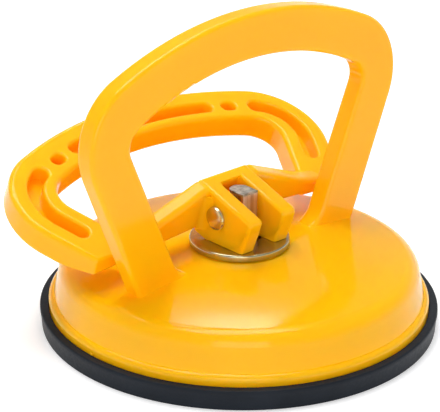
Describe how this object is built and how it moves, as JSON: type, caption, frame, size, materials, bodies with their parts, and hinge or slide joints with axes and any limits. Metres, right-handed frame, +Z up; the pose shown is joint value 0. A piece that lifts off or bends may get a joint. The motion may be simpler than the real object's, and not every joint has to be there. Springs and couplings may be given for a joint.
{
  "type": "floor tile suction lifter",
  "caption": "Single-cup suction lifter: domed plastic housing with a fixed D-handle, a rubber disc and a looped cam lever that pulls the disc's centre up.",
  "frame": {"origin": "centre of the rubber disc's underside, where it rests on a tile", "axes": "+Z up out of the tile; +X along the fixed handle and the hinge pin; +Y towards the lever's crown when it lies released"},
  "size_m": [0.1192, 0.118, 0.0957],
  "materials": {
    "pad_rubber": "satin black moulded rubber",
    "housing_plastic": "satin warm yellow moulded plastic",
    "washer_steel": "yellow zinc plated",
    "plate_steel": "zinc plated sheet",
    "stud_steel": "yellow zinc plated with a sheared top",
    "pin_steel": "yellow zinc plated",
    "lever_plastic": "satin warm yellow moulded plastic"
  },
  "bodies": {
    "housing": {"housing": "housing_plastic", "cam_washer": "washer_steel", "rubber_pad": "pad_rubber"},
    "stud": {"stud": "stud_steel", "backing_plate": "plate_steel", "hinge_pin": "pin_steel"},
    "lever": {"lever": "lever_plastic"}
  },
  "joints": [
    {"name": "stud_lift", "type": "slide", "parent": "housing", "child": "stud", "axis": [0, 0, 1], "range_m": [0, 0.00475]},
    {"name": "lever_fold", "type": "hinge", "parent": "stud", "child": "lever", "pos_m": [0, 0, 0.03435], "axis": [1, 0, 0], "range_deg": [0, 69]}
  ],
  "couplings": [
    {"joint": "stud_lift", "follows": "lever_fold", "m_per_rad": 0.0039443}
  ]
}
